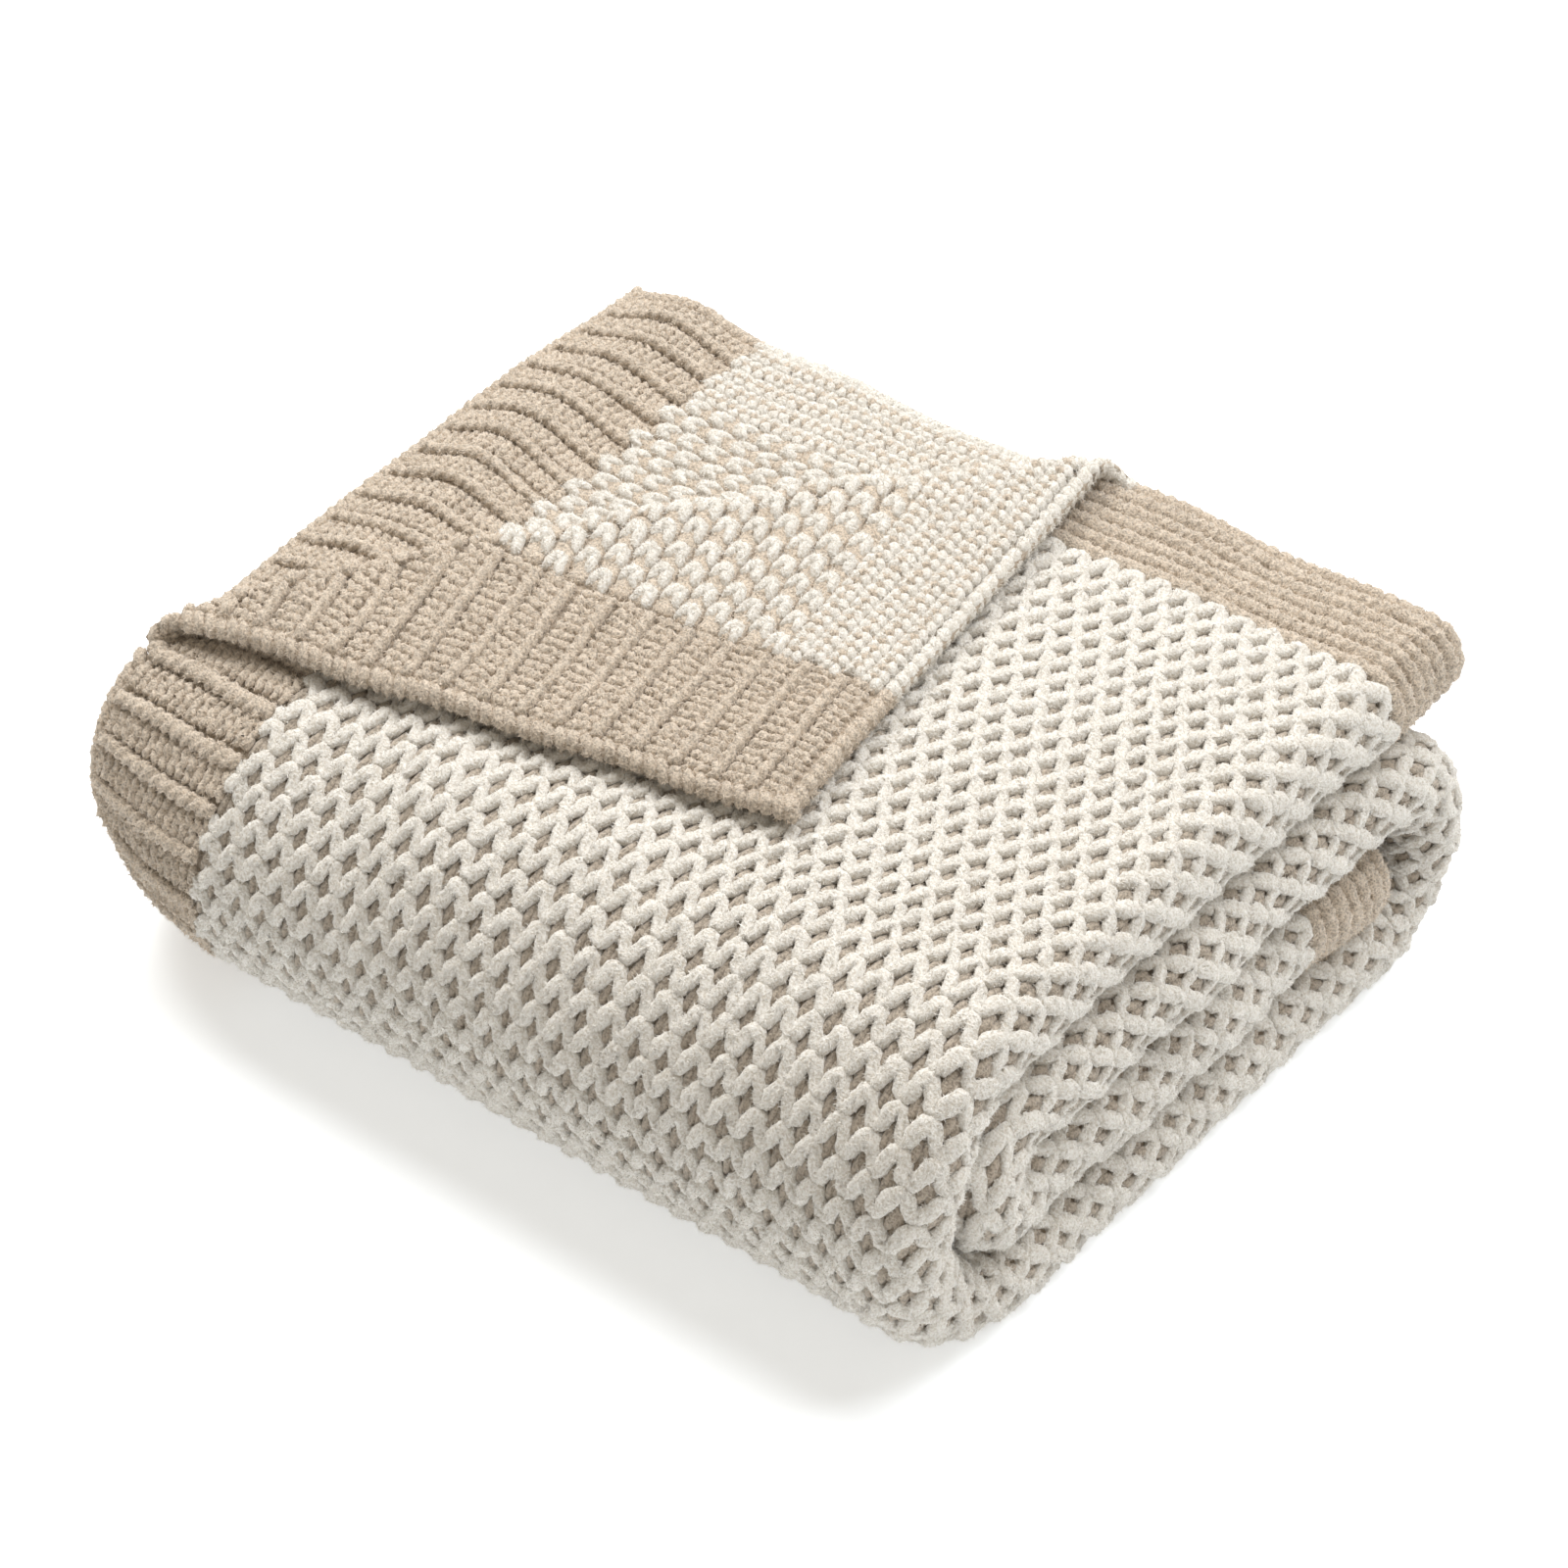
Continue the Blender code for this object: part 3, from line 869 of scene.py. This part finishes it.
def birdseye(white, tan, place, allowed, v_low, v_high):
    """The side border's reverse: small cream stitches in rows, flecked with tan."""
    pitch = (SIDE_BORDER - SIDE_CORD) / BIRDSEYE_ROWS
    for k in range(BIRDSEYE_ROWS):
        mid = SIDE_CORD + (k + 0.5) * pitch
        for shift, angle, offset in ((-0.0017, 0.5, 0.0), (0.0017, -0.5, 0.0010)):
            v = np.arange(v_low, v_high, BIRDSEYE_STEP) + offset + 0.0026 * (k % 2)
            u = np.full_like(v, mid + shift)
            ok = allowed(u, v)
            u, v = u[ok], v[ok] + rng.normal(0, 0.0003, int(ok.sum()))
            blobs(white, place, u, v, -0.0023, long=0.0033, side=0.0023, rise=0.0026, angle=angle,
                  stacks=8, amount=0.0009, size=0.0013, seed=33 + k)
        v = np.arange(v_low, v_high, BIRDSEYE_STEP) + 0.0026 + 0.0026 * (k % 2)
        u = np.full_like(v, mid + 0.0003)
        ok = allowed(u, v)
        u, v = u[ok], v[ok]
        blobs(tan, place, u, v, -0.0029, long=0.0018, side=0.0023, rise=0.0024, angle=0.6,
              around=9, amount=0.0008, size=0.0012, seed=41)
        v = np.arange(v_low, v_high, 0.0009)
        u = np.full_like(v, mid + pitch / 2)
        for a, b in runs_of(allowed(u, v)):
            tube(tan, place, u[a:b], v[a:b], -0.0012, side=0.0016, rise=0.0018, ring=7,
                 amount=0.0005, size=0.0012, seed=43)


# ---------------------------------------------------------------- the base cloth
def grid_sheet(name, us, vs, place):
    """A closed sheet of ground cloth over a grid of flat points (us and vs are both rows by columns)."""
    rows, cols = us.shape
    low = place(us, vs, np.full_like(us, SHEET_LOW)).reshape(-1, 3)
    high = place(us, vs, np.full_like(us, SHEET_HIGH)).reshape(-1, 3)
    count = rows * cols
    i = np.arange(rows - 1)[:, None] * cols
    j = np.arange(cols - 1)[None, :]
    a = (i + j).ravel()
    top = np.stack([a, a + 1, a + cols + 1, a + cols], -1) + count
    bottom = np.stack([a, a + cols, a + cols + 1, a + 1], -1)
    rim = np.concatenate([
        np.arange(cols), np.arange(1, rows) * cols + cols - 1,
        (rows - 1) * cols + np.arange(cols - 2, -1, -1), np.arange(rows - 2, 0, -1) * cols,
    ])
    nxt = np.roll(rim, -1)
    sides = np.stack([rim, nxt, nxt + count, rim + count], -1)
    verts = np.concatenate([low, high])
    quads = np.concatenate([top, bottom, sides])
    return mesh_object(name, verts, quads, np.zeros((0, 3), int), ground_shade_mat)


def stations(path, curve_step, flat_step):
    """Distances along a path, closer together where it curves."""
    found = [0.0]
    for run, length, end in zip(path.runs, path.lengths, path.ends):
        step = flat_step if run[0] == "line" else curve_step
        n = max(2, int(math.ceil(length / step)))
        found += list(end - length + length * (np.arange(n) + 1) / n)
    return np.array(found)


def crease_start(u, past_rim=False):
    """Where along a row the cloth starts to turn over, or has done so, and 0 where it doesn't."""
    def beyond(v):
        past, arc_end = beyond_rim(u, v)
        return past > (arc_end if past_rim else 0.0)
    low, high = np.zeros_like(u), np.full_like(u, CREASE_X + 0.03)
    inside = beyond(low)
    for _ in range(30):
        v = (low + high) / 2
        out = beyond(v)
        low, high = np.where(out, v, low), np.where(out, high, v)
    return np.where(inside & (u < TOP_Y), low, 0.0)


def build_base():
    """The ground of the whole folded cloth, less the corner that is turned back."""
    across_crease = np.linspace(0, CREASE_REACH + 0.03, 44)
    u = np.unique(np.concatenate([stations(ROLL, 0.0045, 0.016), across_crease]))
    v = stations(UNIT, 0.0025, 0.016)
    start = crease_start(u)[:, None]
    vv = v[None, :] + start * np.clip(1 - v[None, :] / (V_LIP - 0.01), 0, 1)
    uu = np.broadcast_to(u[:, None], vv.shape).copy()
    return grid_sheet("throw_ground", uu, vv, fold)


def build_flap_base():
    """The ground of the turned-back corner: the rim that bends, and the flat part beyond it."""
    u = np.linspace(0, CREASE_REACH + 0.012, 60)
    start = crease_start(u)
    keep = start > 0.004
    u, start = u[keep], start[keep]
    turned = crease_start(u, past_rim=True)
    share = np.concatenate([np.linspace(0, 1, 12)[:-1], np.linspace(1, 2, 22)])
    near = (start - turned)[:, None]
    vv = np.where(share[None] <= 1, start[:, None] - share[None] * near,
                  (start[:, None] - near) * (2 - share[None]))
    uu = np.broadcast_to(u[:, None], vv.shape).copy()
    split = 11
    rim = grid_sheet("crease_ground", uu[:, :split + 2], vv[:, :split + 2], flap)
    plane = grid_sheet("corner_ground", uu[:, split:], vv[:, split:], flap)
    return rim, plane


# ---------------------------------------------------------------- build
def everywhere(u, _v):
    """True for every flat point."""
    return np.ones(np.shape(u), bool)


def stack_front(u, v):
    """Where the front shows from above or from the side."""
    return front_shows(u, v) & ~under_side(u, v)


def stack_under(u, v):
    """Where the front shows only from below."""
    return front_shows(u, v) & under_side(u, v)


lattice_yarn = Yarn("lattice", white_mat, "stack")
ground_yarn = Yarn("lattice_ground", shaded_recess_mat, "stack")
side_yarn = Yarn("side_border", tan_mat, "stack")
end_yarn = Yarn("end_border", tan_mat, "stack")
edge_yarn = Yarn("edge_chain", tan_mat, "stack")
rev_white = Yarn("reverse_cream", white_mat, "stack")
rev_tan = Yarn("reverse_tan", tan_mat, "stack")

honeycomb(lattice_yarn, ground_yarn, fold, stack_front)
honeycomb(lattice_yarn, ground_yarn, fold, stack_under, coarse=True)
side_ribs(side_yarn, fold, front_shows)
side_ribs(side_yarn, fold, front_shows, far=True)
end_ribs(end_yarn, fold, front_shows)


def stack_edge(u, v):
    """All of the cloth but the corner that is turned back."""
    return ~on_flap_side(u, v)


edge_roll(edge_yarn, fold, stack_edge)
edge_roll(edge_yarn, fold, everywhere, at_far_end=True)
side_cord(edge_yarn, fold, lambda u, v: stack_edge(u, v) & (v < V_INNER_LIP_END))
side_cord(rev_white, fold, lambda u, v: (v >= V_INNER_LIP_END) & (v < LONG - END_BORDER))
side_cord(edge_yarn, fold, lambda u, v: v >= LONG - END_BORDER)
side_cord(edge_yarn, fold, everywhere, far=True)


def uncovered(u, v):
    """The ply below the turned-back corner, its reverse side up."""
    _, s = crease_frame(LONG - v, TOP_Y - u)
    return (s > -0.034) & (u < TOP_Y) & (v > V_INNER_LIP_END)


def uncovered_field(u, v):
    """The same, without its end border."""
    return uncovered(u, v) & (v < LONG - END_BORDER)


reverse_rows(rev_white, rev_tan, fold, uncovered_field, V_INNER_LIP_END, LONG - END_BORDER)
birdseye(rev_white, rev_tan, fold, uncovered_field, V_INNER_LIP_END, LONG - END_BORDER)
end_ribs(rev_tan, fold, uncovered, at_far_end=True, sign=-1.0, u_high=CREASE_REACH + 0.04, bow=0.0030)
for yarn in (lattice_yarn, ground_yarn, side_yarn, end_yarn, edge_yarn, rev_white, rev_tan):
    yarn.flush()
base = build_base()


def knit_corner(zone, body):
    """A zone of the turned-back corner: "crease" is the rim that bends, and "corner" what lies beyond it."""
    def allowed(u, v):
        past, arc_end = beyond_rim(u, v)
        inside = (past > 0) & (u > -0.001) & (v > -0.001) & (u < CREASE_REACH + PAST_CREASE)
        return inside & (past < arc_end if zone == "crease" else past >= arc_end)

    def beyond_end_border(u, v):
        return allowed(u, v) & (v > END_BORDER + 0.001)

    white = Yarn(zone + "_cream", white_mat, body)
    tan = Yarn(zone + "_tan", tan_mat, body)
    u_high, v_high = CREASE_REACH + PAST_CREASE, CREASE_X + 0.03
    # the reverse side, which lies on top
    reverse_rows(white, tan, flap, lambda u, v: beyond_end_border(u, v) & (u > SIDE_BORDER),
                 END_BORDER, v_high)
    birdseye(white, tan, flap, beyond_end_border, END_BORDER + 0.002, v_high)
    end_ribs(tan, flap, allowed, sign=-1.0, u_high=u_high)
    edge_roll(tan, flap, allowed)
    side_cord(white, flap, lambda u, v: allowed(u, v) & (v > END_BORDER))
    side_cord(tan, flap, lambda u, v: allowed(u, v) & (v <= END_BORDER))
    # the front side, which lies beneath until the corner is turned
    honeycomb(white, tan, flap, lambda u, v: allowed(u, v) & (u > SIDE_BORDER), coarse=True,
              rows=range(int(CREASE_REACH / PITCH)))
    side_ribs(tan, flap, allowed)
    end_ribs(tan, flap, allowed, u_high=u_high)
    white.flush()
    tan.flush()


knit_corner("crease", "rim")
knit_corner("corner", "corner_flap")
rim_base, flap_base = build_flap_base()

# ---------------------------------------------------------------- riding and replacing
floor_mat = bpy.data.materials.new("studio_floor")
floor_mat.use_nodes = True
floor_shader = floor_mat.node_tree.nodes["Principled BSDF"]
floor_shader.inputs["Base Color"].default_value = FLOOR_COLOUR
floor_shader.inputs["Roughness"].default_value = 0.9
floor_shader.inputs["Emission Color"].default_value = FLOOR_GLOW
floor_shader.inputs["Emission Strength"].default_value = FLOOR_GLOW_STRENGTH
bpy.ops.mesh.primitive_plane_add(size=30.0, location=(0, 0, 0))
floor = bpy.context.object
floor.name = "floor"
floor.data.materials.append(floor_mat)


def rim_ends():
    """The two points between which the turned-over rim bends, square to the crease."""
    t = np.linspace(0.1, 0.9, 30) * CREASE_LEN
    centre_line = rim_bow(t)
    low_s = centre_line - math.pi / 2 * rim_radius(t)
    high_s = centre_line + math.pi / 2 * rim_radius(t)

    def at(s):
        x = t * CREASE_RUN[0] + s * CREASE_OUT[0]
        y = CREASE_Y + t * CREASE_RUN[1] + s * CREASE_OUT[1]
        return flap(TOP_Y - y, x, np.zeros_like(x))

    low, high = at(low_s), at(high_s)
    along = low[-1] - low[0]
    along = along / np.linalg.norm(along)
    up = np.array([0.0, 0.0, 1.0]) - along[2] * along
    up = up / np.linalg.norm(up)
    anchor = low.mean(0)
    return anchor, anchor + up * float(((high - anchor) @ up).mean())


rim_low, rim_high = rim_ends()


# loose fibres on every strand but the ground yarn, which lies too deep to show any
for obj, body in list(pieces):
    if obj.name.startswith("lattice_ground"):
        continue
    material = white_pile if obj.data.materials[0] is white_mat else tan_pile
    length = LATTICE_PILE if obj.name.startswith("lattice") else OTHER_PILE
    pieces.append((pile_on(obj, material, length), body))
pieces += [(base, "stack"), (flap_base, "corner_flap"), (rim_base, "rim")]
for obj, body in pieces:
    if body == "rim":
        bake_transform(obj)
    else:
        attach(obj, body)

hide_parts("honeycomb_panel", "side_border_outer", "side_border_inner", "end_border_upper",
            "end_border_lower", "edge_roll_upper", "edge_roll_lower")
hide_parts("corner_flap_field", "corner_flap_side_border", "corner_flap_end_border",
            "corner_flap_edge_roll")

# ---------------------------------------------------------------- studio
world = bpy.data.worlds.new("studio")
bpy.context.scene.world = world
world.use_nodes = True
world.node_tree.nodes["Background"].inputs["Color"].default_value = WORLD_COLOUR
world.node_tree.nodes["Background"].inputs["Strength"].default_value = WORLD_STRENGTH

for name, place, target, size, watts, colour in LIGHTS:
    lamp = bpy.data.lights.new(name, "AREA")
    lamp.energy = watts
    lamp.shape = "SQUARE"
    lamp.size = size
    lamp.color = colour
    obj = bpy.data.objects.new(name, lamp)
    obj.location = place
    obj.rotation_euler = (Vector(target) - Vector(place)).to_track_quat("-Z", "Y").to_euler()
    bpy.context.scene.collection.objects.link(obj)

# The camera, fitted to the photograph: its turn and drop in degrees, and its distance from what it looks at.
VIEW_TURN = math.radians(39.2403)
VIEW_DROP = math.radians(39.5683)
VIEW_FAR = 1.81133
TARGET = Vector((0.000125, 0.0, 0.066))
away = Vector((-math.sin(VIEW_TURN) * math.cos(VIEW_DROP), math.cos(VIEW_TURN) * math.cos(VIEW_DROP),
               -math.sin(VIEW_DROP)))
lens = bpy.data.cameras.new("camera")
lens.lens = 119.03
lens.sensor_width = 36.0
lens.shift_x = 0.0090
lens.shift_y = 0.0036
lens.clip_end = 50.0
camera = bpy.data.objects.new("camera", lens)
camera.location = TARGET - away * VIEW_FAR
camera.rotation_euler = away.to_track_quat("-Z", "Y").to_euler()
bpy.context.scene.collection.objects.link(camera)
bpy.context.scene.camera = camera
bpy.context.scene.view_settings.view_transform = "Standard"
